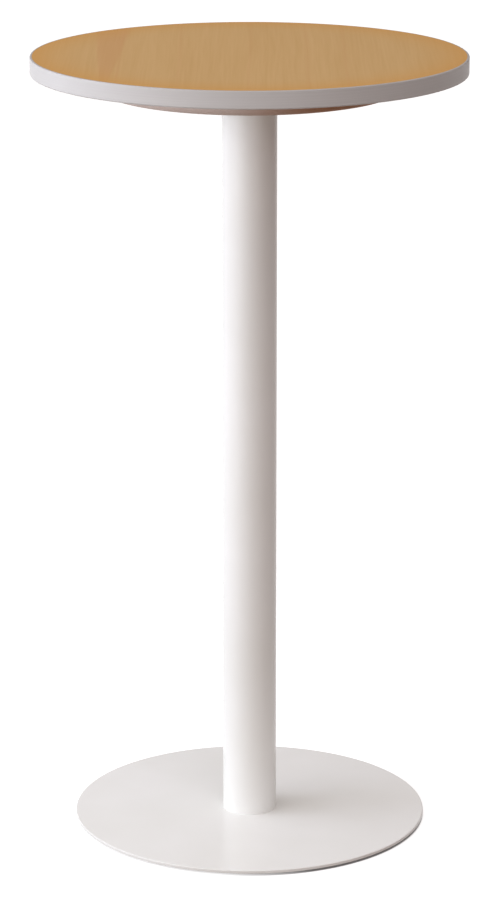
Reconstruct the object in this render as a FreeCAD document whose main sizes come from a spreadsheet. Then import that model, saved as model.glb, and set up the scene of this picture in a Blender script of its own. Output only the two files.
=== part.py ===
import FreeCAD, Part
import os
import Sketcher

# Standing meeting table: a round top on one tube column and a round steel base.
# Lengths are millimetres. +Z is up, the floor is z = 0 and the column stands on the Z axis.

doc = FreeCAD.newDocument("StandingTable")

# ---- Driving dimensions ----------------------------------------------------------------

driving_sizes = (
    ("table_height", "1100", "floor to the top face"),
    ("top_diameter", "600", "over the edge band"),
    ("top_thickness", "24.5", "both laminates and the board between them"),
    ("laminate_thickness", "0.8", "melamine sheet on the face, and the same below"),
    ("band_thickness", "3", "edge band, measured inwards from the rim"),
    ("band_upper_arris", "1.5", "rounding of the band's upper outer corner"),
    ("band_lower_arris", "2.5", "rounding of its lower outer corner"),
    ("band_joint", "0.2", "gap where the two ends of the band meet at the back"),
    ("tongue_length", "12", "the band's tongue, in the groove of the board"),
    ("tongue_thickness", "2.4", "tongue without its barbs"),
    ("barb_height", "0.4", "each barb, above and below the tongue"),
    ("barb_length", "2.4", "slope of each barb"),
    ("barb_pitch", "3.4", "from one barb to the next"),
    ("barb_start", "1", "from the inner face of the band to the first barb"),
    ("barb_count", "3", ""),
    ("groove_spare", "1", "groove deeper than the tongue is long"),
    ("glue_line", "0.1", "between the band and the board"),
    ("sub_board_diameter", "430", "wooden disc that stiffens the top"),
    ("sub_board_thickness", "25.5", ""),
    ("sub_board_rounding", "20", "rounded lower rim of the disc"),
    ("sub_board_arris", "1", "broken upper edge of the disc"),
    ("board_screw_count", "8", "wood screws from the disc up into the top"),
    ("board_screw_circle", "340", ""),
    ("board_screw_shank", "4.5", ""),
    ("board_screw_head", "9", "countersunk head"),
    ("board_screw_length", "40", ""),
    ("board_screw_point", "6", "length of the point"),
    ("board_screw_recess", "4.6", "cross recess, from tip to tip"),
    ("board_screw_slot", "1.1", "width of each slot of the cross"),
    ("board_screw_recess_depth", "2", ""),
    ("pilot_spare", "1", "pilot hole deeper than the screw reaches"),
    ("head_plate_width", "200", "square plate on the head of the column"),
    ("head_plate_corner", "15", "radius of its corners"),
    ("head_plate_thickness", "6", ""),
    ("head_bolt_spacing", "160", "square pattern, hole to hole"),
    ("head_bolt_count", "4", ""),
    ("head_bolt_shank", "8", ""),
    ("head_bolt_length", "20", "under the head"),
    ("head_bolt_cap", "14", "diameter of the button head"),
    ("head_bolt_cap_height", "4.4", ""),
    ("head_bolt_cap_rounding", "3.2", "rounding of the button head"),
    ("head_bolt_key", "5", "hexagon socket across flats"),
    ("head_bolt_key_depth", "2.6", ""),
    ("head_bolt_hole", "9", "clearance hole in the plate"),
    ("washer_diameter", "17", ""),
    ("washer_hole", "8.4", ""),
    ("washer_thickness", "1.6", ""),
    ("insert_diameter", "12", "threaded insert in the wooden disc"),
    ("insert_length", "18", ""),
    ("insert_flange", "15", ""),
    ("insert_flange_thickness", "1.2", ""),
    ("insert_hole_spare", "2", "hole deeper than the insert is long"),
    ("insert_ring_depth", "0.5", "grip grooves round the insert"),
    ("insert_ring_width", "1.5", ""),
    ("insert_ring_start", "0.75", "from the flange to the first groove"),
    ("insert_ring_pitch", "3", "from one groove to the next"),
    ("insert_ring_count", "5", ""),
    ("wood_gap", "0.1", "between a screw or insert and its hole in wood"),
    ("column_diameter", "76.3", "outside"),
    ("column_wall", "1.6", ""),
    ("head_weld_leg", "4", "fillet weld under the head plate"),
    ("head_weld_throat", "0.4", "share of the leg at the hollow of the weld"),
    ("foot_plug_thickness", "12", "steel disc in the foot of the column"),
    ("foot_plug_gap", "0.15", "between the disc and the tube"),
    ("foot_plug_vent", "10", "hole that lets the tube breathe"),
    ("foot_weld_leg", "3", "weld in the bevel round the disc"),
    ("base_diameter", "500", ""),
    ("base_thickness", "4.5", ""),
    ("base_arris", "1", "rounded upper rim of the base"),
    ("base_lower_arris", "0.5", "broken lower edge of the base"),
    ("base_screw_circle", "46", ""),
    ("base_screw_count", "4", ""),
    ("base_screw_shank", "8", ""),
    ("base_screw_head", "16", "countersunk head"),
    ("base_screw_length", "16", "overall"),
    ("base_screw_key", "5", "hexagon socket across flats"),
    ("base_screw_key_depth", "3", ""),
    ("metal_gap", "0.1", "round a screw in a tapped or countersunk hole"),
    ("glide_circle", "430", "circle of the levelling glides"),
    ("glide_count", "4", ""),
    ("glide_hole_roof", "1", "steel left above each blind tapped hole"),
    ("glide_tip_gap", "0.2", "between the stem's tip and the end of its hole"),
    ("pad_diameter", "30", ""),
    ("pad_height", "3", "floor to the underside of the base, glides fully in"),
    ("pad_edge", "1", "rounded edge of the sole"),
    ("pad_shoulder", "0.4", "broken upper edge of the pad"),
    ("pad_sole", "0.9", "nylon under the flange of the stem"),
    ("pad_key_hole", "7", "hole in the sole for the key"),
    ("flange_diameter", "16", "flange of the stem, held inside the pad"),
    ("flange_thickness", "1.15", ""),
    ("flange_room", "0.3", "radial room round the flange"),
    ("stem_diameter", "8", ""),
    ("stem_chamfer", "0.8", ""),
    ("stem_key", "4", "hexagon socket across flats"),
    ("stem_key_depth", "2.4", ""),
    ("running_gap", "0.05", "radial clearance of the stem in the pad and in the base"),
)

sizes = doc.addObject("Spreadsheet::Sheet", "Sizes")
for row, (name, value, note) in enumerate(driving_sizes, start=1):
    sizes.set(f"A{row}", name)
    sizes.set(f"B{row}", value)
    sizes.set(f"C{row}", note)
    sizes.setAlias(f"B{row}", name)
doc.recompute()

# ---- Heights and radii that follow from them ----------------------------------------------

derived_sizes = (
    ("base_top", "Sizes.pad_height + Sizes.base_thickness"),
    ("top_underside", "Sizes.table_height - Sizes.top_thickness"),
    ("core_underside", "top_underside + Sizes.laminate_thickness"),
    ("laminate_underside", "Sizes.table_height - Sizes.laminate_thickness"),
    ("sub_board_underside", "top_underside - Sizes.sub_board_thickness"),
    ("head_plate_underside", "sub_board_underside - Sizes.head_plate_thickness"),
    ("washer_underside", "head_plate_underside - Sizes.washer_thickness"),
    ("head_bolt_underside", "washer_underside - Sizes.head_bolt_cap_height"),
    ("head_weld_underside", "head_plate_underside - Sizes.head_weld_leg"),
    ("column_length", "head_plate_underside - base_top"),
    ("column_radius", "Sizes.column_diameter / 2"),
    ("column_bore_radius", "column_radius - Sizes.column_wall"),
    ("foot_plug_radius", "column_bore_radius - Sizes.foot_plug_gap"),
    ("rim_radius", "Sizes.top_diameter / 2"),
    ("band_inner_radius", "rim_radius - Sizes.band_thickness"),
    ("band_turn", "360 - Sizes.band_joint / rim_radius * 180 / pi"),
    ("board_radius", "band_inner_radius - Sizes.glue_line"),
    ("core_thickness", "Sizes.top_thickness - 2 * Sizes.laminate_thickness"),
    ("tongue_half", "Sizes.tongue_thickness / 2"),
    ("tongue_underside", "Sizes.top_thickness / 2 - tongue_half"),
    ("tongue_topside", "Sizes.top_thickness / 2 + tongue_half"),
    ("tongue_tip_radius", "band_inner_radius - Sizes.tongue_length"),
    ("groove_underside", "core_thickness / 2 - tongue_half - Sizes.barb_height"),
    ("groove_topside", "core_thickness / 2 + tongue_half + Sizes.barb_height"),
    ("groove_radius", "tongue_tip_radius - Sizes.groove_spare"),
    ("sub_board_radius", "Sizes.sub_board_diameter / 2"),
    ("board_screw_radius", "Sizes.board_screw_circle / 2"),
    ("board_screw_cone", "(Sizes.board_screw_head - Sizes.board_screw_shank) / 2"),
    ("board_screw_tip", "sub_board_underside + Sizes.board_screw_length"),
    ("pilot_depth", "board_screw_tip + Sizes.pilot_spare - core_underside"),
    ("head_bolt_reach", "Sizes.head_bolt_spacing / 2"),
    ("head_bolt_radius", "Sizes.head_bolt_spacing / sqrt(2)"),
    ("insert_bore_radius", "Sizes.head_bolt_shank / 2 + Sizes.metal_gap"),
    ("base_radius", "Sizes.base_diameter / 2"),
    ("base_screw_radius", "Sizes.base_screw_circle / 2"),
    ("base_screw_cone", "(Sizes.base_screw_head - Sizes.base_screw_shank) / 2"),
    ("base_screw_bore", "Sizes.base_screw_shank / 2 + Sizes.metal_gap"),
    ("glide_radius", "Sizes.glide_circle / 2"),
    ("glide_hole_depth", "Sizes.base_thickness - Sizes.glide_hole_roof"),
    ("glide_hole_radius", "Sizes.stem_diameter / 2 + Sizes.running_gap"),
    ("stem_radius", "Sizes.stem_diameter / 2"),
    ("stem_top", "Sizes.pad_height + glide_hole_depth - Sizes.glide_tip_gap"),
    ("flange_radius", "Sizes.flange_diameter / 2"),
    ("flange_top", "Sizes.pad_sole + Sizes.flange_thickness"),
    ("pad_roof", "flange_top + Sizes.running_gap"),
)

levels = doc.addObject("Spreadsheet::Sheet", "Levels")
for row, (name, formula) in enumerate(derived_sizes, start=1):
    levels.set(f"A{row}", name)
    levels.set(f"B{row}", "=" + formula)
    levels.setAlias(f"B{row}", name)
doc.recompute()


# ---- Ways of making features ------------------------------------------------------------

parts = []
quarter_turn = 90
eighth_turn = 45
near = 1e-4
least_cut = 1e-3


def value_of(expression):
    """The number that an expression gives."""
    return float(sizes.evalExpression(expression))


def new_body(label, height="0", turn=0, several=False):
    """A body at a height above the floor, turned about Z; several allows separate solids."""
    body = doc.addObject("PartDesign::Body", label)
    body.Label = label
    body.AllowCompound = several
    upright = FreeCAD.Vector(0, 0, 1)
    body.Placement = FreeCAD.Placement(FreeCAD.Vector(), FreeCAD.Rotation(upright, turn))
    body.setExpression("Placement.Base.z", height)
    parts.append(body)
    return body


def datum(body, role):
    """One of the body's own origin planes or axes."""
    return next(f for f in body.Origin.OriginFeatures if f.Role == role)


def new_sketch(body, name, plane):
    sketch = body.newObject("Sketcher::SketchObject", name)
    sketch.AttachmentSupport = [(datum(body, plane), "")]
    sketch.MapMode = "FlatFace"
    return sketch


def pin_point(sketch, edge, end, x, y):
    """Ties one end of an edge to the expressions x and y, measured from the origin."""
    for kind, axis, expression in (("DistanceX", -2, x), ("DistanceY", -1, y)):
        if expression == "0":
            sketch.addConstraint(Sketcher.Constraint("PointOnObject", edge, end, axis))
            continue
        start = value_of(expression)
        number = sketch.addConstraint(Sketcher.Constraint(kind, -1, 1, edge, end, start))
        sketch.setExpression(f"Constraints[{number}]", expression)


def outline(body, name, corners, axis):
    """A closed upright outline; each corner is (distance from axis, height)."""
    sketch = new_sketch(body, name, "XZ_Plane")
    if axis != "0":
        corners = [(axis if x == "0" else f"{axis} + {x}", y) for x, y in corners]
    points = [FreeCAD.Vector(value_of(x), value_of(y), 0) for x, y in corners]
    for number, point in enumerate(points):
        following = points[(number + 1) % len(points)]
        sketch.addGeometry(Part.LineSegment(point, following), False)
    for number in range(len(points)):
        following = (number + 1) % len(points)
        sketch.addConstraint(Sketcher.Constraint("Coincident", number, 2, following, 1))
    for number, (x, y) in enumerate(corners):
        pin_point(sketch, number, 1, x, y)
    if axis != "0":
        foot = FreeCAD.Vector(value_of(axis), 0, 0)
        upright = Part.LineSegment(foot, foot + FreeCAD.Vector(0, 1, 0))
        line = sketch.addGeometry(upright, True)
        pin_point(sketch, line, 1, axis, "0")
        pin_point(sketch, line, 2, axis, "1")
    return sketch


def turned(body, name, corners, axis="0", kind="Revolution", angle="360"):
    """A form turned about the Z axis, or about an upright line at the distance axis."""
    sketch = outline(body, name + "Profile", corners, axis)
    feature = body.newObject("PartDesign::" + kind, name)
    feature.Profile = sketch
    feature.ReferenceAxis = (sketch, ["V_Axis" if axis == "0" else "Axis0"])
    feature.setExpression("Angle", angle)
    doc.recompute()
    return feature


def checked_cut(body, name, volume_before):
    """Stops if the body's last feature took nothing away."""
    if body.Shape.Volume > volume_before - least_cut:
        raise RuntimeError(f"{body.Label}: {name} cuts nothing")


def turned_cut(body, name, corners, axis):
    volume_before = body.Shape.Volume
    feature = turned(body, name, corners, axis, "Groove")
    checked_cut(body, name, volume_before)
    return feature


def circles(body, name, rounds):
    """Circles on the body's floor plane; each is (x, y, radius)."""
    sketch = new_sketch(body, name, "XY_Plane")
    for x, y, radius in rounds:
        centre = FreeCAD.Vector(value_of(x), value_of(y), 0)
        ring = Part.Circle(centre, FreeCAD.Vector(0, 0, 1), value_of(radius))
        edge = sketch.addGeometry(ring, False)
        if x == y == "0":
            sketch.addConstraint(Sketcher.Constraint("Coincident", edge, 3, -1, 1))
        else:
            pin_point(sketch, edge, 3, x, y)
        number = sketch.addConstraint(Sketcher.Constraint("Radius", edge, ring.Radius))
        sketch.setExpression(f"Constraints[{number}]", radius)
    return sketch


def raised(body, name, rounds, length):
    """A disc, tube or washer that stands on the body's floor plane."""
    sketch = circles(body, name + "Sketch", rounds)
    feature = body.newObject("PartDesign::Pad", name)
    feature.Profile = sketch
    feature.setExpression("Length", length)
    doc.recompute()
    return feature


def drilled(body, name, rounds, depth):
    """Holes from the body's floor plane upwards."""
    volume_before = body.Shape.Volume
    sketch = circles(body, name + "Sketch", rounds)
    feature = body.newObject("PartDesign::Pocket", name)
    feature.Profile = sketch
    feature.Reversed = True
    feature.setExpression("Length", depth)
    doc.recompute()
    checked_cut(body, name, volume_before)
    return feature


def primitive(body, kind, name, fields, base):
    """A ready-made form, with its sizes and its place as expressions."""
    volume_before = body.Shape.Volume if body.Tip else 0
    feature = body.newObject("PartDesign::" + kind, name)
    feature.AttachmentSupport = [(datum(body, "XY_Plane"), "")]
    feature.MapMode = "FlatFace"
    for field, expression in fields.items():
        feature.setExpression(field, expression)
    for letter, expression in zip("xyz", base):
        feature.setExpression(f"AttachmentOffset.Base.{letter}", expression)
    doc.recompute()
    if kind.startswith("Subtractive"):
        checked_cut(body, name, volume_before)
    return feature


def hexagon_socket(body, across_flats, depth, x, bottom):
    """A hexagon socket that opens downwards."""
    fields = {"Circumradius": f"{across_flats} / 2 / cos(30 deg)", "Height": depth}
    return primitive(body, "SubtractivePrism", "Socket", fields, (x, "0", bottom))


def ring_of(body, count, features=()):
    """Repeats the features, or the whole body where none is given, round the Z axis."""
    pattern = body.newObject("PartDesign::PolarPattern", "Ring")
    if features:
        pattern.Originals = list(features)
    else:
        pattern.TransformMode = "Whole shape"
    pattern.Axis = (datum(body, "Z_Axis"), [""])
    pattern.Angle = 360
    pattern.setExpression("Occurrences", count)
    body.Tip = pattern
    doc.recompute()
    return pattern


def round_edges(feature, radius, height):
    """Names of the feature's level round edges of one radius at one height."""
    found = []
    for number, edge in enumerate(feature.Shape.Edges, start=1):
        curve = edge.Curve
        if not isinstance(curve, Part.Circle) or abs(curve.Axis.z) < 1 - near:
            continue
        same_height = abs(curve.Center.z - value_of(height)) < near
        if same_height and abs(curve.Radius - value_of(radius)) < near:
            found.append(f"Edge{number}")
    if not found:
        raise RuntimeError(f"{feature.Label}: no round edge of {radius} at {height}")
    return found


def upright_edges(feature):
    """Names of the feature's straight edges that stand along Z."""
    found = []
    for number, edge in enumerate(feature.Shape.Edges, start=1):
        box = edge.BoundBox
        if isinstance(edge.Curve, Part.Line) and box.XLength + box.YLength < near:
            found.append(f"Edge{number}")
    return found


def softened(body, kind, name, edges, amount):
    """A fillet or a chamfer on named edges of the body's last feature."""
    last = body.Tip
    feature = body.newObject("PartDesign::" + kind, name)
    feature.Base = (last, edges)
    feature.setExpression("Radius" if kind == "Fillet" else "Size", amount)
    doc.recompute()
    return feature


# ---- The top ------------------------------------------------------------------------------

def make_top_laminate():
    """The wood-grain melamine face, flush with the edge band."""
    body = new_body("top_laminate", "Levels.laminate_underside")
    raised(body, "Sheet", [("0", "0", "Levels.board_radius")], "Sizes.laminate_thickness")


def make_top_core():
    """The board, with a groove round its edge for the band's tongue."""
    body = new_body("top_core", "Levels.core_underside")
    turned(body, "Board", [
        ("0", "0"),
        ("Levels.board_radius", "0"),
        ("Levels.board_radius", "Levels.groove_underside"),
        ("Levels.groove_radius", "Levels.groove_underside"),
        ("Levels.groove_radius", "Levels.groove_topside"),
        ("Levels.board_radius", "Levels.groove_topside"),
        ("Levels.board_radius", "Levels.core_thickness"),
        ("0", "Levels.core_thickness"),
    ])
    pilot = ("Levels.board_screw_radius", "0", "Sizes.board_screw_shank / 2 + Sizes.wood_gap")
    hole = drilled(body, "Pilot", [pilot], "Levels.pilot_depth")
    ring_of(body, "Sizes.board_screw_count", [hole])


def make_balance_sheet():
    """The plain laminate under the board, which keeps it flat."""
    body = new_body("balance_sheet", "Levels.top_underside")
    raised(body, "Sheet", [("0", "0", "Levels.board_radius")], "Sizes.laminate_thickness")
    pilot = ("Levels.board_screw_radius", "0", "Sizes.board_screw_shank / 2 + Sizes.wood_gap")
    hole = drilled(body, "Pilot", [pilot], "Sizes.laminate_thickness")
    ring_of(body, "Sizes.board_screw_count", [hole])


def make_edge_band():
    """The rim: one extruded strip with a barbed tongue, bent round and butted at the back."""
    inner = "Levels.band_inner_radius"
    barbs = []
    for number in range(int(value_of("Sizes.barb_count"))):
        step = f"{inner} - Sizes.barb_start - {number} * Sizes.barb_pitch"
        barbs.append((step, f"{step} - Sizes.barb_length"))
    upper = [(inner, "Levels.tongue_topside")]
    lower = [(inner, "Levels.tongue_underside")]
    for step, toe in barbs:
        upper += [
            (step, "Levels.tongue_topside"),
            (step, "Levels.tongue_topside + Sizes.barb_height"),
            (toe, "Levels.tongue_topside"),
        ]
        lower += [
            (step, "Levels.tongue_underside"),
            (step, "Levels.tongue_underside - Sizes.barb_height"),
            (toe, "Levels.tongue_underside"),
        ]
    upper.append(("Levels.tongue_tip_radius", "Levels.tongue_topside"))
    lower.append(("Levels.tongue_tip_radius", "Levels.tongue_underside"))
    lip = [
        (inner, "0"),
        ("Levels.rim_radius", "0"),
        ("Levels.rim_radius", "Sizes.top_thickness"),
        (inner, "Sizes.top_thickness"),
    ]
    body = new_body("edge_band", "Levels.top_underside", quarter_turn)
    corners = lip + upper + lower[::-1]
    strip = turned(body, "Strip", corners, angle="Levels.band_turn")
    low_rim = round_edges(strip, "Levels.rim_radius", "0")
    rounded = softened(body, "Fillet", "LowerArris", low_rim, "Sizes.band_lower_arris")
    high_rim = round_edges(rounded, "Levels.rim_radius", "Sizes.top_thickness")
    softened(body, "Fillet", "UpperArris", high_rim, "Sizes.band_upper_arris")


# ---- The wooden disc under the top ----------------------------------------------------------

def make_sub_board():
    body = new_body("sub_board", "Levels.sub_board_underside", eighth_turn)
    rim = "Levels.sub_board_radius"
    disc = raised(body, "Disc", [("0", "0", rim)], "Sizes.sub_board_thickness")
    lower = round_edges(disc, rim, "0")
    rounded = softened(body, "Fillet", "Rounding", lower, "Sizes.sub_board_rounding")
    upper = round_edges(rounded, rim, "Sizes.sub_board_thickness")
    softened(body, "Chamfer", "Arris", upper, "Sizes.sub_board_arris")
    head = "Sizes.board_screw_head / 2 + Sizes.wood_gap"
    shank = "Sizes.board_screw_shank / 2 + Sizes.wood_gap"
    screw_hole = turned_cut(body, "ScrewHole", [
        ("0", "0"),
        (head, "0"),
        (shank, "Levels.board_screw_cone"),
        (shank, "Sizes.sub_board_thickness"),
        ("0", "Sizes.sub_board_thickness"),
    ], "Levels.board_screw_radius")
    ring_of(body, "Sizes.board_screw_count", [screw_hole])
    flange = "Sizes.insert_flange / 2 + Sizes.wood_gap"
    barrel = "Sizes.insert_diameter / 2 + Sizes.wood_gap"
    insert_end = "Sizes.insert_length + Sizes.insert_hole_spare"
    insert_hole = turned_cut(body, "InsertHole", [
        ("0", "0"),
        (flange, "0"),
        (flange, "Sizes.insert_flange_thickness"),
        (barrel, "Sizes.insert_flange_thickness"),
        (barrel, insert_end),
        ("0", insert_end),
    ], "Levels.head_bolt_radius")
    ring_of(body, "Sizes.head_bolt_count", [insert_hole])


def make_board_screws():
    """Countersunk wood screws with a cross recess, from the disc up into the top."""
    body = new_body("sub_board_screws", "Levels.sub_board_underside", eighth_turn, True)
    centre = "Levels.board_screw_radius"
    shank = "Sizes.board_screw_shank / 2"
    turned(body, "Screw", [
        ("0", "0"),
        ("Sizes.board_screw_head / 2", "0"),
        (shank, "Levels.board_screw_cone"),
        (shank, "Sizes.board_screw_length - Sizes.board_screw_point"),
        ("0", "Sizes.board_screw_length"),
    ], centre)
    long_side = "Sizes.board_screw_recess"
    short_side = "Sizes.board_screw_slot"
    for name, length, width in (
        ("SlotAlong", long_side, short_side),
        ("SlotAcross", short_side, long_side),
    ):
        fields = {"Length": length, "Width": width, "Height": "Sizes.board_screw_recess_depth"}
        corner = (f"{centre} - {length} / 2", f"-{width} / 2", "0")
        primitive(body, "SubtractiveBox", name, fields, corner)
    ring_of(body, "Sizes.board_screw_count")


def make_inserts():
    """Flanged steel inserts, threaded for the head bolts, with grip grooves outside."""
    body = new_body("threaded_inserts", "Levels.sub_board_underside", eighth_turn, True)
    barrel = "Sizes.insert_diameter / 2"
    first = "Sizes.insert_flange_thickness + Sizes.insert_ring_start"
    grooves = []
    for number in range(int(value_of("Sizes.insert_ring_count"))):
        start = f"{first} + {number} * Sizes.insert_ring_pitch"
        grooves += [
            (barrel, start),
            (f"{barrel} - Sizes.insert_ring_depth", f"{start} + Sizes.insert_ring_width / 2"),
            (barrel, f"{start} + Sizes.insert_ring_width"),
        ]
    corners = [
        ("Levels.insert_bore_radius", "0"),
        ("Sizes.insert_flange / 2", "0"),
        ("Sizes.insert_flange / 2", "Sizes.insert_flange_thickness"),
        (barrel, "Sizes.insert_flange_thickness"),
    ]
    corners += grooves
    corners += [
        (barrel, "Sizes.insert_length"),
        ("Levels.insert_bore_radius", "Sizes.insert_length"),
    ]
    turned(body, "Insert", corners, "Levels.head_bolt_radius")
    ring_of(body, "Sizes.head_bolt_count")


# ---- The head of the column -------------------------------------------------------------------

def make_head_plate():
    body = new_body("head_plate", "Levels.head_plate_underside")
    width = "Sizes.head_plate_width"
    fields = {"Length": width, "Width": width, "Height": "Sizes.head_plate_thickness"}
    corner = (f"-{width} / 2", f"-{width} / 2", "0")
    plate = primitive(body, "AdditiveBox", "Plate", fields, corner)
    softened(body, "Fillet", "Corners", upright_edges(plate), "Sizes.head_plate_corner")
    reach = "Levels.head_bolt_reach"
    rounds = [(reach, reach, "Sizes.head_bolt_hole / 2")]
    hole = drilled(body, "BoltHole", rounds, "Sizes.head_plate_thickness")
    ring_of(body, "Sizes.head_bolt_count", [hole])


def make_head_washers():
    body = new_body("head_washers", "Levels.washer_underside", eighth_turn, True)
    centre = "Levels.head_bolt_radius"
    rounds = [
        (centre, "0", "Sizes.washer_diameter / 2"),
        (centre, "0", "Sizes.washer_hole / 2"),
    ]
    raised(body, "Washer", rounds, "Sizes.washer_thickness")
    ring_of(body, "Sizes.head_bolt_count")


def make_head_bolts():
    """Button-head bolts through the plate into the threaded inserts."""
    body = new_body("head_bolts", "Levels.head_bolt_underside", eighth_turn, True)
    centre = "Levels.head_bolt_radius"
    cap = "Sizes.head_bolt_cap / 2"
    shank = "Sizes.head_bolt_shank / 2"
    end = "Sizes.head_bolt_cap_height + Sizes.head_bolt_length"
    bolt = turned(body, "Bolt", [
        ("0", "0"),
        (cap, "0"),
        (cap, "Sizes.head_bolt_cap_height"),
        (shank, "Sizes.head_bolt_cap_height"),
        (shank, end),
        ("0", end),
    ], centre)
    crown = round_edges(bolt, cap, "0")
    softened(body, "Fillet", "Crown", crown, "Sizes.head_bolt_cap_rounding")
    hexagon_socket(body, "Sizes.head_bolt_key", "Sizes.head_bolt_key_depth", centre, "0")
    ring_of(body, "Sizes.head_bolt_count")


def make_head_weld():
    """The hollow fillet weld between the column and its head plate."""
    body = new_body("head_weld", "Levels.head_weld_underside")
    wall = "Levels.column_radius + Sizes.metal_gap"
    leg = "Sizes.head_weld_leg"
    turned(body, "Bead", [
        (wall, "0"),
        (f"{wall} + {leg} * Sizes.head_weld_throat", f"{leg} * (1 - Sizes.head_weld_throat)"),
        (f"{wall} + {leg}", leg),
        (wall, leg),
    ])


# ---- The column and the base ------------------------------------------------------------------

def make_column():
    body = new_body("column_tube", "Levels.base_top")
    rounds = [("0", "0", "Levels.column_radius"), ("0", "0", "Levels.column_bore_radius")]
    raised(body, "Tube", rounds, "Levels.column_length")


def make_foot_plug():
    """The bevelled steel disc in the foot of the column, tapped for the base screws."""
    body = new_body("foot_plug", "Levels.base_top", eighth_turn)
    edge = "Levels.foot_plug_radius"
    vent = "Sizes.foot_plug_vent / 2"
    turned(body, "Disc", [
        (vent, "0"),
        (f"{edge} - Sizes.foot_weld_leg", "0"),
        (edge, "Sizes.foot_weld_leg"),
        (edge, "Sizes.foot_plug_thickness"),
        (vent, "Sizes.foot_plug_thickness"),
    ])
    rounds = [("Levels.base_screw_radius", "0", "Levels.base_screw_bore")]
    hole = drilled(body, "Tapping", rounds, "Sizes.foot_plug_thickness")
    ring_of(body, "Sizes.base_screw_count", [hole])


def make_foot_weld():
    """The weld that fills the bevel, ground flush with the foot of the tube."""
    body = new_body("foot_weld", "Levels.base_top")
    toe = "Levels.foot_plug_radius - Sizes.foot_weld_leg + 2 * Sizes.metal_gap"
    wall = "Levels.column_bore_radius - Sizes.metal_gap"
    turned(body, "Bead", [(toe, "0"), (wall, "0"), (wall, f"({wall}) - ({toe})")])


def make_base_plate():
    """The steel disc, countersunk from below, with blind tapped holes for the glides."""
    body = new_body("base_plate", "Sizes.pad_height", eighth_turn)
    rim = "Levels.base_radius"
    disc = raised(body, "Disc", [("0", "0", rim)], "Sizes.base_thickness")
    upper = round_edges(disc, rim, "Sizes.base_thickness")
    rounded = softened(body, "Fillet", "Rim", upper, "Sizes.base_arris")
    lower = round_edges(rounded, rim, "0")
    softened(body, "Chamfer", "LowerArris", lower, "Sizes.base_lower_arris")
    head = "Sizes.base_screw_head / 2 + Sizes.metal_gap"
    shank = "Sizes.base_screw_shank / 2 + Sizes.metal_gap"
    countersink = turned_cut(body, "Countersink", [
        ("0", "0"),
        (head, "0"),
        (shank, "Levels.base_screw_cone"),
        (shank, "Sizes.base_thickness"),
        ("0", "Sizes.base_thickness"),
    ], "Levels.base_screw_radius")
    ring_of(body, "Sizes.base_screw_count", [countersink])
    rounds = [("Levels.glide_radius", "0", "Levels.glide_hole_radius")]
    glide_hole = drilled(body, "GlideHole", rounds, "Levels.glide_hole_depth")
    ring_of(body, "Sizes.glide_count", [glide_hole])


def make_base_screws():
    """Countersunk screws from under the base into the foot of the column."""
    body = new_body("base_screws", "Sizes.pad_height", eighth_turn, True)
    centre = "Levels.base_screw_radius"
    shank = "Sizes.base_screw_shank / 2"
    turned(body, "Screw", [
        ("0", "0"),
        ("Sizes.base_screw_head / 2", "0"),
        (shank, "Levels.base_screw_cone"),
        (shank, "Sizes.base_screw_length"),
        ("0", "Sizes.base_screw_length"),
    ], centre)
    hexagon_socket(body, "Sizes.base_screw_key", "Sizes.base_screw_key_depth", centre, "0")
    ring_of(body, "Sizes.base_screw_count")


# ---- The levelling glides ---------------------------------------------------------------------

def place_on_glide_circle(body, number):
    """Moves a body out to its place, halfway between the X and Y axes."""
    angle = f"360 deg / Sizes.glide_count * ({number} - 0.5)"
    body.setExpression("Placement.Base.x", f"Levels.glide_radius * cos({angle})")
    body.setExpression("Placement.Base.y", f"Levels.glide_radius * sin({angle})")


def make_glide_pad(number):
    """The nylon foot, closed over the flange of its stem, with a key hole in the sole."""
    body = new_body(f"glide_pad_{number}")
    outer = "Sizes.pad_diameter / 2"
    room = "Levels.flange_radius + Sizes.flange_room"
    pad = turned(body, "Foot", [
        ("Sizes.pad_key_hole / 2", "0"),
        (outer, "0"),
        (outer, "Sizes.pad_height"),
        ("Levels.glide_hole_radius", "Sizes.pad_height"),
        ("Levels.glide_hole_radius", "Levels.pad_roof"),
        (room, "Levels.pad_roof"),
        (room, "Sizes.pad_sole"),
        ("Sizes.pad_key_hole / 2", "Sizes.pad_sole"),
    ])
    sole = softened(body, "Fillet", "SoleEdge", round_edges(pad, outer, "0"), "Sizes.pad_edge")
    upper = round_edges(sole, outer, "Sizes.pad_height")
    softened(body, "Chamfer", "Shoulder", upper, "Sizes.pad_shoulder")
    place_on_glide_circle(body, number)


def make_glide_stem(number):
    """The threaded stem, with the flange that the foot holds and a socket for the key."""
    body = new_body(f"glide_stem_{number}")
    turned(body, "Stem", [
        ("0", "Sizes.pad_sole"),
        ("Levels.flange_radius", "Sizes.pad_sole"),
        ("Levels.flange_radius", "Levels.flange_top"),
        ("Levels.stem_radius", "Levels.flange_top"),
        ("Levels.stem_radius", "Levels.stem_top - Sizes.stem_chamfer"),
        ("Levels.stem_radius - Sizes.stem_chamfer", "Levels.stem_top"),
        ("0", "Levels.stem_top"),
    ])
    hexagon_socket(body, "Sizes.stem_key", "Sizes.stem_key_depth", "0", "Sizes.pad_sole")
    place_on_glide_circle(body, number)


# ---- Build, check and write -------------------------------------------------------------------

make_top_laminate()
make_top_core()
make_balance_sheet()
make_edge_band()
make_sub_board()
make_board_screws()
make_inserts()
make_head_plate()
make_head_washers()
make_head_bolts()
make_head_weld()
make_column()
make_foot_plug()
make_foot_weld()
make_base_plate()
make_base_screws()
for glide in range(1, int(value_of("Sizes.glide_count")) + 1):
    make_glide_pad(glide)
    make_glide_stem(glide)
doc.recompute()

for item in doc.Objects:
    if "Invalid" in item.State or "Error" in item.State:
        raise RuntimeError(f"{item.Label} did not build: {item.State}")
for part in parts:
    if part.Shape.isNull() or not part.Shape.isValid():
        raise RuntimeError(f"{part.Label} has no valid shape")

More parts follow.
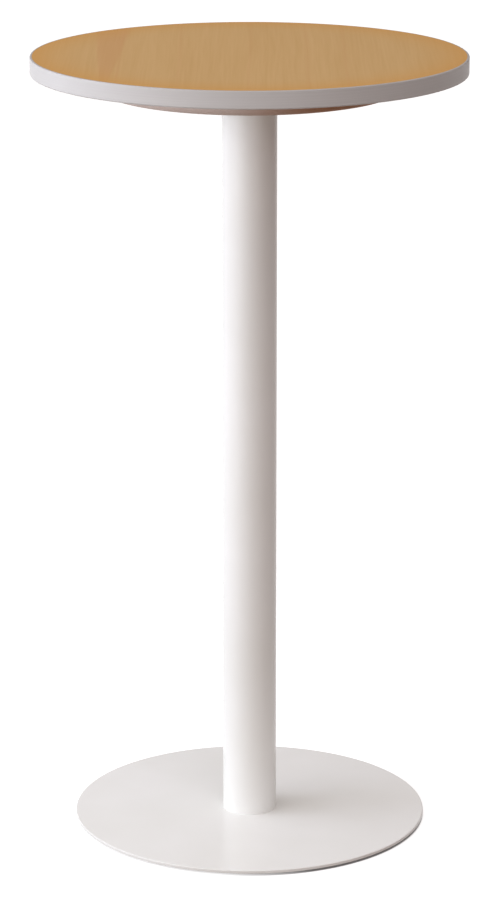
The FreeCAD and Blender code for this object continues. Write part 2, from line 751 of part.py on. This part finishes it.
os.makedirs("parts", exist_ok=True)
for part in parts:
    part.Shape.exportStep(os.path.join("parts", part.Label + ".step"))
    solids = len(part.Shape.Solids)
    print(f"{part.Label}: {solids} solid(s), {part.Shape.Volume / 1000:.2f} cm3")
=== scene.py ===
import math

import bmesh
import bpy
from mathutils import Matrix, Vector


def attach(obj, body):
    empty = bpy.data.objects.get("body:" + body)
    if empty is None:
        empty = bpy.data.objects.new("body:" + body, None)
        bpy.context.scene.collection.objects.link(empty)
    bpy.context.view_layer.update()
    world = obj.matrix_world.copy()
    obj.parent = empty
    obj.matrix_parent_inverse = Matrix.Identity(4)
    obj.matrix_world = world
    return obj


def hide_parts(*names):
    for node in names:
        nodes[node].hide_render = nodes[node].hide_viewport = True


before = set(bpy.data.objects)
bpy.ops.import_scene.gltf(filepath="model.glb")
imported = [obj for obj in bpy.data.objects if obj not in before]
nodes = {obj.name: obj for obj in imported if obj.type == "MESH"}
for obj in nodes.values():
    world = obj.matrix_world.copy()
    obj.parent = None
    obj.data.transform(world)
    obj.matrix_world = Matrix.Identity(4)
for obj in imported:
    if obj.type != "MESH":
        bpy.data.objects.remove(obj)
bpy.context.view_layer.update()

# Standing meeting table: a round wood-grain top with a pale plastic edge, a pale disc under it with
# painted brown shade, one white tube column and a flat round steel base on four screw glides.
# Metres, +Z up, floor at z = 0, the column on the Z axis. Pattern sizes and depths are in millimetres.

mm = 0.001
print("frame loaded:", len(nodes), "CAD nodes")


def linear(code):  # sRGB hex to the linear colour that a shader socket takes
    parts = [int(code[i:i + 2], 16) / 255 for i in (0, 2, 4)]
    return [c / 12.92 if c <= 0.04045 else ((c + 0.055) / 1.055) ** 2.4 for c in parts] + [1.0]


def addNode(tree, kind, settings, inputs, result=0):  # inputs are values or other nodes' outputs
    node = tree.nodes.new("ShaderNode" + kind)
    for name, value in settings.items():
        setattr(node, name, value)
    for name, value in inputs.items():
        if isinstance(value, bpy.types.NodeSocket):
            tree.links.new(value, node.inputs[name])
        else:
            node.inputs[name].default_value = value
    return node.outputs[result] if node.outputs else node


def newMaterial(name):  # an empty node tree, with Object coordinates to start from
    material = bpy.data.materials.new(name)
    material.use_nodes = True
    tree = material.node_tree
    tree.nodes.clear()
    return material, tree, addNode(tree, "TexCoord", {}, {}, "Object")


# a Mix node on colours, and its sockets: how much of the second colour, the two colours, the result
colourMix = {"data_type": "RGBA"}
colourMultiply = colourMix | {"blend_type": "MULTIPLY"}
share, first, second, mixed = 0, 6, 7, 2

# a noise stays near its middle value, and these spans stretch it
wideSpan = {"From Min": 0.3, "From Max": 0.7}
closeSpan = {"From Min": 0.35, "From Max": 0.65}


def spots(size):  # Mapping scale for spots this long in mm along x, y and z; 0 leaves an axis out
    return [1 / (length * mm) if length else 0 for length in size]


# camera: standing height, looking down a little, long lens
cameraView = {
    "position": (0.0, -4.81424, 1.86225),
    "pitch": 0.2669,  # radians below level
    "lens": 142.026,
    "shift": (0.00048, -0.00441),
    "reach": 200,
}

cameraData = bpy.data.cameras.new("camera")
cameraData.lens = cameraView["lens"]
cameraData.shift_x, cameraData.shift_y = cameraView["shift"]
cameraData.clip_end = cameraView["reach"]
cameraObject = bpy.data.objects.new("camera", cameraData)
cameraObject.location = cameraView["position"]
cameraObject.rotation_euler = (math.pi / 2 - cameraView["pitch"], 0, 0)
bpy.context.scene.collection.objects.link(cameraObject)
bpy.context.scene.camera = cameraObject
print("camera set")


# soft light panels on the left and in front. Each has its azimuth (from the front, round to the left)
# and spread in degrees, its distance, low edge and high edge, its level (1 looks white) and its tint
lightPanels = {
    "warmWall": (-17.5, 35, 6.5, 0.1, 4.2, 1.62, "FFEEF4"),
    "frontWall": (17.5, 35, 6.5, 0.1, 4.2, 1.02, "EEFBFF"),
    "nearWindow": (47.5, 25, 2.8, 0.05, 2.6, 1.58, "FFFCF6"),
    "sideWindow": (72.5, 25, 2.8, 0.05, 2.6, 4.22, "EDF2FF"),
    "farWindow": (97.5, 25, 2.8, 0.05, 2.6, 4.22, "EDF2FF"),
}

for name, (azimuth, spread, distance, low, high, level, tint) in lightPanels.items():
    panelData = bpy.data.lights.new(name, "AREA")
    panelData.shape = "RECTANGLE"
    panelData.size = 2 * distance * math.tan(math.radians(spread / 2))
    panelData.size_y = high - low
    panelData.energy = level * math.pi * panelData.size * panelData.size_y
    panelData.color = linear(tint)[:3]
    panel = bpy.data.objects.new(name, panelData)
    outward = Vector((-math.sin(math.radians(azimuth)), -math.cos(math.radians(azimuth)), 0))
    panel.location = outward * distance + Vector((0, 0, (low + high) / 2))
    panel.rotation_euler = (-outward).to_track_quat("-Z", "Z").to_euler()
    panel.visible_camera = False
    bpy.context.scene.collection.objects.link(panel)

# a pale sky: brightest overhead, none at the horizon
skyLook = {
    "stops": (  # height, from 0 at the horizon to 1 overhead, and level
        (0.20, 0.0), (0.30, 0.50), (0.50, 0.48), (0.62, 0.38), (0.80, 1.00), (1.0, 1.00),
    ),
    "tint": "FFF7F5",
}

world = bpy.data.worlds.new("studioSky")
bpy.context.scene.world = world
world.use_nodes = True
sky = world.node_tree
sky.nodes.clear()
skyDirection = addNode(sky, "TexCoord", {}, {}, "Generated")
skyHeight = addNode(sky, "SeparateXYZ", {}, {0: skyDirection}, "Z")
skyColour = addNode(sky, "ValToRGB", {}, {0: skyHeight})
skyRamp = skyColour.node.color_ramp.elements
while len(skyRamp) < len(skyLook["stops"]):
    skyRamp.new(0.5)
for element, (height, level) in zip(skyRamp, skyLook["stops"]):
    element.position = height
    element.color = [level * part for part in linear(skyLook["tint"])[:3]] + [1]
addNode(sky, "OutputWorld", {}, {"Surface": addNode(sky, "Background", {}, {"Color": skyColour})})

# painted plywood floor: matt. It looks lifted to white, with the object's soft shadow on it,
# and gives its own pale brown back to the object
floorLook = {
    "radius": 60,  # m
    "sides": 96,
    "bounce": "75604C",  # the colour given back to the object
    "speckleSize": 4,
    "speckleDark": 0.97,
    "seen": "C0C0C0",  # the part of the seen floor that takes shadows
    "glow": 0.72,  # lifts the seen floor to white
    "glowUnder": 0.04,  # the same under the base, where the thin gap is dark away from the windows
    "baseRadius": 250,
    "gapLit": -40,  # the gap is bright up to here across the base, mm
    "gapDark": 90,  # and dark from here on
}


def makeFloorPaint(look):
    material, tree, place = newMaterial("mattFloorPaint")
    speckle = addNode(tree, "TexNoise", {}, {"Vector": place, "Scale": 1 / (look["speckleSize"] * mm)})
    speckle = addNode(tree, "MapRange", {}, closeSpan | {
        "Value": speckle, "To Min": look["speckleDark"],
    })
    paint = addNode(tree, "Mix", colourMultiply, {
        share: 1, first: linear(look["bounce"]), second: speckle,
    }, mixed)
    edge = look["baseRadius"] * mm
    gap = addNode(tree, "MapRange", {}, {
        "Value": addNode(tree, "SeparateXYZ", {}, {0: place}, "X"),
        "From Min": look["gapLit"] * mm, "From Max": look["gapDark"] * mm,
        "To Min": look["glow"], "To Max": look["glowUnder"],
    })
    glow = addNode(tree, "MapRange", {}, {
        "Value": addNode(tree, "VectorMath", {"operation": "LENGTH"}, {0: place}, "Value"),
        "From Min": edge - mm, "From Max": edge + mm, "To Min": gap, "To Max": look["glow"],
    })
    seen = addNode(tree, "AddShader", {}, {
        0: addNode(tree, "BsdfDiffuse", {}, {"Color": linear(look["seen"])}),
        1: addNode(tree, "Emission", {}, {"Strength": glow}),
    })
    rays = addNode(tree, "LightPath", {}, {}).node.outputs
    shown = rays["Is Camera Ray"]
    for kind in ("Is Glossy Ray", "Is Transmission Ray"):
        shown = addNode(tree, "Math", {"operation": "MAXIMUM"}, {0: shown, 1: rays[kind]})
    topSide = addNode(tree, "MixShader", {}, {
        0: shown, 1: addNode(tree, "BsdfDiffuse", {}, {"Color": paint}), 2: seen,
    })
    addNode(tree, "OutputMaterial", {}, {"Surface": addNode(tree, "MixShader", {}, {
        0: addNode(tree, "NewGeometry", {}, {}, "Backfacing"),
        1: topSide,
        2: addNode(tree, "BsdfTransparent", {}, {}),  # clear from below
    })})
    return material


floorMesh = bpy.data.meshes.new("floor")
bm = bmesh.new()
bmesh.ops.create_circle(bm, cap_ends=True, segments=floorLook["sides"], radius=floorLook["radius"])
bm.to_mesh(floorMesh)
bm.free()
floorMesh.materials.append(makeFloorPaint(floorLook))
floor = bpy.data.objects.new("floor", floorMesh)
bpy.context.scene.collection.objects.link(floor)

bpy.context.scene.view_settings.view_transform = "Standard"
print("studio lit")


# wood-grain melamine: printed paper under clear resin, pressed on a satin steel sheet.
# The eye sees straight pale-brown grain, long and soft, under one even satin sheen.

woodGrain = {
    "pale": "D5AF74",
    "dark": "CBA367",
    "red": "CB9760",
    "paintedRimShade": "D49B48",
    "layers": (  # width across and length along the grain in mm, share in the tone
        ((55, 1800, 0), 0.34),
        ((10, 500, 0), 0.33),
        ((3.2, 190, 0), 0.33),  # finer in the real print; drawn as coarse as the render shows
    ),
    "streakSpan": (0.32, 0.68),
    "poreSize": (0.9, 16, 0),  # finer too
    "poreSpan": (0.60, 0.72),
    "poreStrength": 0.10,
    "driftSize": (160, 600, 0),
    "drift": 2.5,  # how far the grain wanders sideways, mm
    "redStave": (-192, 16, 0.5),  # centre and half width in mm, strength
    "staveTaper": 0.045,  # the stave narrows towards the front
    "staveEdge": (0.8, 1.1),  # where it fades, as shares of its half width
    "darkLines": (  # the same three values for each line
        (-176, 3.0, 0.35), (-95, 4.0, 0.20), (1, 3.5, 0.22), (78, 5.0, 0.22), (130, 4.0, 0.22),
    ),
    "rimStart": 205,  # painted shade: the wood deepens from this radius out to the next, mm
    "rimEnd": 300,
    "rimCurve": 2,
    "rimStrength": 0.75,
    "satinSize": 0.7,  # a coarser satin than the real sheet's
    "satinDepth": 0.02,
    "satinStrength": 0.25,
    "roughness": (0.58, 0.52),  # in the dark and in the pale grain
    "gloss": 0.25,
}


def makeWoodMelamine(look):
    material, tree, place = newMaterial("woodGrainMelamine")
    wander = addNode(tree, "TexNoise", {}, {
        "Vector": addNode(tree, "Mapping", {}, {"Vector": place, "Scale": spots(look["driftSize"])}),
        "Scale": 1, "Detail": 1,
    })
    drift = addNode(tree, "MapRange", {}, wideSpan | {
        "Value": wander, "To Min": -look["drift"] * mm, "To Max": look["drift"] * mm,
    })
    axes = addNode(tree, "SeparateXYZ", {}, {0: place}).node.outputs
    across = addNode(tree, "Math", {"operation": "ADD"}, {0: axes["X"], 1: drift})
    drifted = addNode(tree, "CombineXYZ", {}, {"X": across, "Y": axes["Y"]})

    tone = 0
    low, high = look["streakSpan"]
    for size, weight in look["layers"]:
        streaks = addNode(tree, "TexNoise", {}, {
            "Vector": addNode(tree, "Mapping", {}, {"Vector": drifted, "Scale": spots(size)}),
            "Scale": 1, "Detail": 3,
        })
        streaks = addNode(tree, "MapRange", {}, {
            "Value": streaks, "From Min": low, "From Max": high, "To Max": weight,
        })
        tone = addNode(tree, "Math", {"operation": "ADD"}, {0: streaks, 1: tone})
    colour = addNode(tree, "Mix", colourMix, {
        share: tone, first: linear(look["dark"]), second: linear(look["pale"]),
    }, mixed)

    # one redder stave, closing towards the front
    centre, half, strength = look["redStave"]
    inner, outer = look["staveEdge"]
    away = addNode(tree, "Math", {"operation": "SUBTRACT"}, {0: across, 1: centre * mm})
    away = addNode(tree, "Math", {"operation": "ABSOLUTE"}, {0: away})
    width = addNode(tree, "Math", {"operation": "MULTIPLY_ADD"}, {
        0: axes["Y"], 1: look["staveTaper"], 2: half * mm,
    })
    stave = addNode(tree, "MapRange", {}, {
        "Value": addNode(tree, "Math", {"operation": "DIVIDE"}, {0: away, 1: width}),
        "From Min": inner, "From Max": outer, "To Min": strength, "To Max": 0,
    })
    colour = addNode(tree, "Mix", colourMix, {
        share: stave, first: colour, second: linear(look["red"]),
    }, mixed)

    # a few darker lines of late wood
    for centre, half, strength in look["darkLines"]:
        away = addNode(tree, "Math", {"operation": "SUBTRACT"}, {0: across, 1: centre * mm})
        line = addNode(tree, "MapRange", {}, {
            "Value": addNode(tree, "Math", {"operation": "ABSOLUTE"}, {0: away}),
            "From Max": half * mm, "To Min": strength, "To Max": 0,
        })
        colour = addNode(tree, "Mix", colourMix, {
            share: line, first: colour, second: linear(look["red"]),
        }, mixed)

    # pores, as short dashes along the grain
    low, high = look["poreSpan"]
    pores = addNode(tree, "TexNoise", {}, {
        "Vector": addNode(tree, "Mapping", {}, {"Vector": drifted, "Scale": spots(look["poreSize"])}),
        "Scale": 1, "Detail": 1,
    })
    pores = addNode(tree, "MapRange", {}, {
        "Value": pores, "From Min": low, "From Max": high, "To Max": look["poreStrength"],
    })
    colour = addNode(tree, "Mix", colourMix, {
        share: pores, first: colour, second: linear(look["red"]),
    }, mixed)

    # painted shade: the wood turns warmer and deeper towards the edge band, standing in for the broad
    # soft reflection that pales the middle of the top
    rim = addNode(tree, "MapRange", {}, {
        "Value": addNode(tree, "VectorMath", {"operation": "LENGTH"}, {
            0: addNode(tree, "CombineXYZ", {}, {"X": axes["X"], "Y": axes["Y"]}),
        }, "Value"),
        "From Min": look["rimStart"] * mm, "From Max": look["rimEnd"] * mm,
    })
    rim = addNode(tree, "Math", {"operation": "POWER"}, {0: rim, 1: look["rimCurve"]})
    rim = addNode(tree, "Math", {"operation": "MULTIPLY"}, {0: rim, 1: look["rimStrength"]})
    colour = addNode(tree, "Mix", colourMix, {
        share: rim, first: colour, second: linear(look["paintedRimShade"]),
    }, mixed)

    pressed = addNode(tree, "TexNoise", {}, {"Vector": place, "Scale": 1 / (look["satinSize"] * mm)})
    inDark, inPale = look["roughness"]
    addNode(tree, "OutputMaterial", {}, {"Surface": addNode(tree, "BsdfPrincipled", {}, {
        "Base Color": colour,
        "Roughness": addNode(tree, "MapRange", {}, {"Value": tone, "To Min": inDark, "To Max": inPale}),
        "Specular IOR Level": look["gloss"],
        "Normal": addNode(tree, "Bump", {}, {
            "Strength": look["satinStrength"], "Distance": look["satinDepth"] * mm, "Height": pressed,
        }),
    })})
    return material


# powder coat: polyester powder baked on steel. The eye sees a white semi-gloss skin
# with a faint orange peel.

powderCoat = {
    "white": "EAEAE7",
    "shade": "E6E6E2",
    "cloudSize": 170,
    "peelSize": 2.2,
    "peelDepth": 0.04,
    "peelStrength": 0.2,
    "grainSize": 0.35,  # coarser than the real powder, so that it shows
    "grainShare": 0.25,
    "roughness": (0.20, 0.27),
    "gloss": 0.28,
}


def makePowderCoat(look):
    material, tree, place = newMaterial("whitePowderCoat")
    cloud = addNode(tree, "TexNoise", {}, {"Vector": place, "Scale": 1 / (look["cloudSize"] * mm)})
    cloud = addNode(tree, "MapRange", {}, closeSpan | {"Value": cloud})
    colour = addNode(tree, "Mix", colourMix, {
        share: cloud, first: linear(look["shade"]), second: linear(look["white"]),
    }, mixed)
    peel = addNode(tree, "TexNoise", {}, {"Vector": place, "Scale": 1 / (look["peelSize"] * mm)})
    grain = addNode(tree, "TexNoise", {}, {"Vector": place, "Scale": 1 / (look["grainSize"] * mm)})
    relief = addNode(tree, "Math", {"operation": "MULTIPLY_ADD"}, {
        0: grain, 1: look["grainShare"], 2: peel,
    })
    low, high = look["roughness"]
    addNode(tree, "OutputMaterial", {}, {"Surface": addNode(tree, "BsdfPrincipled", {}, {
        "Base Color": colour,
        "Roughness": addNode(tree, "MapRange", {}, wideSpan | {
            "Value": grain, "To Min": low, "To Max": high,
        }),
        "Specular IOR Level": look["gloss"],
        "Normal": addNode(tree, "Bump", {}, {
            "Strength": look["peelStrength"], "Distance": look["peelDepth"] * mm, "Height": relief,
        }),
    })})
    return material


# edge band: extruded PVC. The eye sees a pale grey-white satin strip, with very fine lines
# along its length.

edgePlastic = {
    "pale": "BEBCBA",
    "dark": "B8B6B4",
    "lineSize": (400, 400, 0.9),  # hair-fine in a real band; drawn as coarse as the render shows
    "lineDepth": 0.02,
    "lineStrength": 0.15,
    "hazeSize": 45,
    "roughness": (0.36, 0.46),
    "gloss": 0.2,
}


def makeEdgePlastic(look):
    material, tree, place = newMaterial("extrudedEdgePlastic")
    lines = addNode(tree, "TexNoise", {}, {
        "Vector": addNode(tree, "Mapping", {}, {"Vector": place, "Scale": spots(look["lineSize"])}),
        "Scale": 1,
    })
    lines = addNode(tree, "MapRange", {}, wideSpan | {"Value": lines})
    colour = addNode(tree, "Mix", colourMix, {
        share: lines, first: linear(look["dark"]), second: linear(look["pale"]),
    }, mixed)
    haze = addNode(tree, "TexNoise", {}, {"Vector": place, "Scale": 1 / (look["hazeSize"] * mm)})
    low, high = look["roughness"]
    addNode(tree, "OutputMaterial", {}, {"Surface": addNode(tree, "BsdfPrincipled", {}, {
        "Base Color": colour,
        "Roughness": addNode(tree, "MapRange", {}, wideSpan | {
            "Value": haze, "To Min": low, "To Max": high,
        }),
        "Specular IOR Level": look["gloss"],
        "Normal": addNode(tree, "Bump", {}, {
            "Strength": look["lineStrength"], "Distance": look["lineDepth"] * mm, "Height": lines,
        }),
    })})
    return material


# fibreboard: sawn and clear lacquered. The eye sees close fibres with a few darker flecks.
# Painted shade takes it from grey-beige on the side towards the windows to deep brown on the side away
# from them.

fibreboard = {
    "pale": "E1D4CF",
    "dark": "D3C4BD",
    "paintedShade": "C29A7B",
    "paintedShadeRange": (-60, 110),  # the painted shade deepens between these places across the board, mm
    "fleck": "84634E",
    "fibreSize": (1.6, 1.6, 0.7),  # thicker than real fibres, so that they show
    "fibreDepth": 0.05,
    "fibreStrength": 0.3,
    "cloudSize": 40,
    "cloudStrength": 0.3,
    "fleckSize": (0.8, 0.8, 0.5),
    "fleckSpan": (0.66, 0.74),
    "fleckStrength": 0.3,
    "roughness": 0.6,
    "gloss": 0.08,
}


def makeFibreboard(look):
    material, tree, place = newMaterial("lacqueredFibreboard")
    fibres = addNode(tree, "TexNoise", {}, {
        "Vector": addNode(tree, "Mapping", {}, {"Vector": place, "Scale": spots(look["fibreSize"])}),
        "Scale": 1, "Detail": 4,
    })
    fibres = addNode(tree, "MapRange", {}, wideSpan | {"Value": fibres})
    colour = addNode(tree, "Mix", colourMix, {
        share: fibres, first: linear(look["dark"]), second: linear(look["pale"]),
    }, mixed)
    cloud = addNode(tree, "TexNoise", {}, {"Vector": place, "Scale": 1 / (look["cloudSize"] * mm)})
    cloud = addNode(tree, "MapRange", {}, closeSpan | {"Value": cloud, "To Max": look["cloudStrength"]})
    colour = addNode(tree, "Mix", colourMix, {
        share: cloud, first: colour, second: linear(look["dark"]),
    }, mixed)

    # painted shade: the board darkens to brown towards +X, standing in for the shade and brown floor
    # light on the side away from the windows
    litSide, shadedSide = look["paintedShadeRange"]
    paintedShade = addNode(tree, "MapRange", {"interpolation_type": "SMOOTHSTEP"}, {
        "Value": addNode(tree, "SeparateXYZ", {}, {0: place}, "X"),
        "From Min": litSide * mm, "From Max": shadedSide * mm,
    })
    colour = addNode(tree, "Mix", colourMultiply, {
        share: paintedShade, first: colour, second: linear(look["paintedShade"]),
    }, mixed)

    flecks = addNode(tree, "TexNoise", {}, {
        "Vector": addNode(tree, "Mapping", {}, {"Vector": place, "Scale": spots(look["fleckSize"])}),
        "Scale": 1, "Detail": 1,
    })
    low, high = look["fleckSpan"]
    flecks = addNode(tree, "MapRange", {}, {
        "Value": flecks, "From Min": low, "From Max": high, "To Max": look["fleckStrength"],
    })
    colour = addNode(tree, "Mix", colourMix, {
        share: flecks, first: colour, second: linear(look["fleck"]),
    }, mixed)
    addNode(tree, "OutputMaterial", {}, {"Surface": addNode(tree, "BsdfPrincipled", {}, {
        "Base Color": colour,
        "Roughness": look["roughness"],
        "Specular IOR Level": look["gloss"],
        "Normal": addNode(tree, "Bump", {}, {
            "Strength": look["fibreStrength"], "Distance": look["fibreDepth"] * mm, "Height": fibres,
        }),
    })})
    return material


# particle board: raw, pressed from wood chips. The eye sees blond and brown chips, and only through
# the joint of the edge band.

particleBoard = {
    "pale": "C9A878",
    "dark": "8F6B42",
    "chipSize": 3.5,
    "chipDepth": 0.2,
    "chipStrength": 0.5,
    "roughness": 0.85,
}


def makeParticleBoard(look):
    material, tree, place = newMaterial("particleBoard")
    chips = addNode(tree, "TexVoronoi", {}, {
        "Vector": place, "Scale": 1 / (look["chipSize"] * mm),
    }, "Color")
    tone = addNode(tree, "SeparateColor", {}, {0: chips})
    addNode(tree, "OutputMaterial", {}, {"Surface": addNode(tree, "BsdfPrincipled", {}, {
        "Base Color": addNode(tree, "Mix", colourMix, {
            share: tone, first: linear(look["dark"]), second: linear(look["pale"]),
        }, mixed),
        "Roughness": look["roughness"],
        "Normal": addNode(tree, "Bump", {}, {
            "Strength": look["chipStrength"], "Distance": look["chipDepth"] * mm, "Height": tone,
        }),
    })})
    return material


# balance sheet: plain melamine paper, pressed under the top. The eye sees a pale matt sheet with
# a pearled skin.

plainMelamine = {
    "pale": "DCD9D4",
    "dark": "D2CFC9",
    "cloudSize": 90,
    "pearlSize": 1.4,
    "pearlDepth": 0.03,
    "pearlStrength": 0.3,
    "roughness": 0.5,
}


def makePlainMelamine(look):
    material, tree, place = newMaterial("plainMelamine")
    cloud = addNode(tree, "TexNoise", {}, {"Vector": place, "Scale": 1 / (look["cloudSize"] * mm)})
    cloud = addNode(tree, "MapRange", {}, closeSpan | {"Value": cloud})
    pearl = addNode(tree, "TexNoise", {}, {"Vector": place, "Scale": 1 / (look["pearlSize"] * mm)})
    addNode(tree, "OutputMaterial", {}, {"Surface": addNode(tree, "BsdfPrincipled", {}, {
        "Base Color": addNode(tree, "Mix", colourMix, {
            share: cloud, first: linear(look["dark"]), second: linear(look["pale"]),
        }, mixed),
        "Roughness": look["roughness"],
        "Normal": addNode(tree, "Bump", {}, {
            "Strength": look["pearlStrength"], "Distance": look["pearlDepth"] * mm, "Height": pearl,
        }),
    })})
    return material


# zinc plate: plated on turned steel. The eye sees a bright bluish metal, a little cloudy.

zincPlate = {
    "bright": "C9CED3",
    "dull": "A9ADB2",
    "cloudSize": 3.0,
    "turningSize": (6, 6, 0.25),  # the tool marks, drawn coarser than they are
    "turningDepth": 0.02,
    "turningStrength": 0.2,
    "roughness": (0.24, 0.42),
}


def makeZincPlate(look):
    material, tree, place = newMaterial("zincPlatedSteel")
    cloud = addNode(tree, "TexNoise", {}, {
        "Vector": place, "Scale": 1 / (look["cloudSize"] * mm), "Detail": 3,
    })
    cloud = addNode(tree, "MapRange", {}, wideSpan | {"Value": cloud})
    turning = addNode(tree, "TexNoise", {}, {
        "Vector": addNode(tree, "Mapping", {}, {"Vector": place, "Scale": spots(look["turningSize"])}),
        "Scale": 1, "Detail": 1,
    })
    low, high = look["roughness"]
    addNode(tree, "OutputMaterial", {}, {"Surface": addNode(tree, "BsdfPrincipled", {}, {
        "Base Color": addNode(tree, "Mix", colourMix, {
            share: cloud, first: linear(look["dull"]), second: linear(look["bright"]),
        }, mixed),
        "Metallic": 1.0,
        "Roughness": addNode(tree, "MapRange", {}, {"Value": cloud, "To Min": high, "To Max": low}),
        "Normal": addNode(tree, "Bump", {}, {
            "Strength": look["turningStrength"], "Distance": look["turningDepth"] * mm,
            "Height": turning,
        }),
    })})
    return material


# bare steel: turned, then welded into the foot of the column. The eye sees grey metal with brown
# heat marks.

bareSteel = {
    "grey": "9C9894",
    "heated": "6E5D52",
    "heatSize": 12,
    "heatSpan": (0.4, 0.65),
    "heatStrength": 0.7,
    "turningSize": 0.6,
    "turningDepth": 0.05,
    "turningStrength": 0.3,
    "roughness": 0.45,
}


def makeBareSteel(look):
    material, tree, place = newMaterial("bareWeldedSteel")
    heat = addNode(tree, "TexNoise", {}, {"Vector": place, "Scale": 1 / (look["heatSize"] * mm)})
    low, high = look["heatSpan"]
    heat = addNode(tree, "MapRange", {}, {
        "Value": heat, "From Min": low, "From Max": high, "To Max": look["heatStrength"],
    })
    turning = addNode(tree, "TexNoise", {}, {"Vector": place, "Scale": 1 / (look["turningSize"] * mm)})
    addNode(tree, "OutputMaterial", {}, {"Surface": addNode(tree, "BsdfPrincipled", {}, {
        "Base Color": addNode(tree, "Mix", colourMix, {
            share: heat, first: linear(look["grey"]), second: linear(look["heated"]),
        }, mixed),
        "Metallic": 1.0,
        "Roughness": look["roughness"],
        "Normal": addNode(tree, "Bump", {}, {
            "Strength": look["turningStrength"], "Distance": look["turningDepth"] * mm,
            "Height": turning,
        }),
    })})
    return material


# nylon: moulded black. The eye sees a dry, fine-textured skin with paler scuffs.

blackNylon = {
    "black": "232325",
    "scuff": "4A4A4C",
    "scuffSize": 5,
    "scuffSpan": (0.55, 0.75),
    "scuffStrength": 0.6,
    "textureSize": 0.8,  # coarser than the mould's own texture, so that it shows
    "textureDepth": 0.05,
    "textureStrength": 0.4,
    "roughness": (0.48, 0.85),
}


def makeBlackNylon(look):
    material, tree, place = newMaterial("mouldedBlackNylon")
    low, high = look["scuffSpan"]
    scuffs = addNode(tree, "TexNoise", {}, {
        "Vector": place, "Scale": 1 / (look["scuffSize"] * mm), "Detail": 4,
    })
    scuffs = addNode(tree, "MapRange", {}, {
        "Value": scuffs, "From Min": low, "From Max": high, "To Max": look["scuffStrength"],
    })
    texture = addNode(tree, "TexNoise", {}, {"Vector": place, "Scale": 1 / (look["textureSize"] * mm)})
    smooth, scuffed = look["roughness"]
    addNode(tree, "OutputMaterial", {}, {"Surface": addNode(tree, "BsdfPrincipled", {}, {
        "Base Color": addNode(tree, "Mix", colourMix, {
            share: scuffs, first: linear(look["black"]), second: linear(look["scuff"]),
        }, mixed),
        "Roughness": addNode(tree, "MapRange", {}, {
            "Value": scuffs, "To Min": smooth, "To Max": scuffed,
        }),
        "Normal": addNode(tree, "Bump", {}, {
            "Strength": look["textureStrength"], "Distance": look["textureDepth"] * mm,
            "Height": texture,
        }),
    })})
    return material


finishes = {
    "wood_grain_melamine": makeWoodMelamine(woodGrain),
    "white_powder_coat": makePowderCoat(powderCoat),
    "white_edge_plastic": makeEdgePlastic(edgePlastic),
    "brown_fibreboard": makeFibreboard(fibreboard),
    "particle_board": makeParticleBoard(particleBoard),
    "plain_melamine": makePlainMelamine(plainMelamine),
    "zinc_plated_steel": makeZincPlate(zincPlate),
    "bare_steel": makeBareSteel(bareSteel),
    "black_nylon": makeBlackNylon(blackNylon),
}
for node in nodes.values():
    for slot in node.material_slots:
        slot.material = finishes[slot.material.name]
print("materials made:", len(finishes))


# weld under the head plate: one run round the column, laid in close ripples and painted over
weldBead = {
    "rippleSpacing": 2.2,  # mm, as the depth and the lag are
    "rippleDepth": 0.22,
    "lag": 1.1,  # how far the middle of a ripple trails its ends
    "profileSteps": 6,
    "turnSteps": 720,
    "joinWithin": 0.002,  # points this near each other are one
    "fusedWithin": 0.01,  # points this near the column's wall stay as they are
    "sharpAngle": 60,  # degrees
}


def makeWeldBead(look):
    points = [v.co for v in nodes["head_weld"].data.vertices]
    top = max(co.z for co in points)
    bottom = min(co.z for co in points)
    wall = min(co.xy.length for co in points)
    leg = max(co.xy.length for co in points) - wall
    bm = bmesh.new()
    profile = []
    for step in range(look["profileSteps"] + 1):
        down = step / look["profileSteps"]
        profile.append(bm.verts.new((wall + leg * (1 - down), 0, top + (bottom - top) * down)))
    profile.append(bm.verts.new((wall, 0, top)))
    edges = [bm.edges.new(pair) for pair in zip(profile, profile[1:] + profile[:1])]
    bmesh.ops.spin(
        bm, geom=profile + edges, axis=(0, 0, 1), angle=math.tau,
        steps=look["turnSteps"], use_merge=True,
    )
    bmesh.ops.remove_doubles(bm, verts=bm.verts, dist=look["joinWithin"] * mm)
    ripples = round(math.tau * wall / (look["rippleSpacing"] * mm))
    for v in bm.verts:
        if v.co.xy.length - wall < look["fusedWithin"] * mm:
            continue
        down = (top - v.co.z) / (top - bottom)
        depth = 4 * down * (1 - down)  # none at the weld's two edges, full in its middle
        trail = look["lag"] * mm * depth / wall
        wave = math.cos(ripples * (math.atan2(v.co.y, v.co.x) + trail))
        push = look["rippleDepth"] * mm * depth * (0.5 + 0.5 * wave)
        v.co.xy *= 1 + push / v.co.xy.length
        v.co.z -= push
    bmesh.ops.recalc_face_normals(bm, faces=bm.faces)
    mesh = bpy.data.meshes.new("headWeldBead")
    bm.to_mesh(mesh)
    bm.free()
    mesh.shade_smooth()
    mesh.set_sharp_from_angle(angle=math.radians(look["sharpAngle"]))
    mesh.materials.append(finishes["white_powder_coat"])
    return bpy.data.objects.new("headWeldBead", mesh)


weldPiece = makeWeldBead(weldBead)
bpy.context.scene.collection.objects.link(weldPiece)
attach(weldPiece, "table")
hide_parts("head_weld")
print("weld bead made")
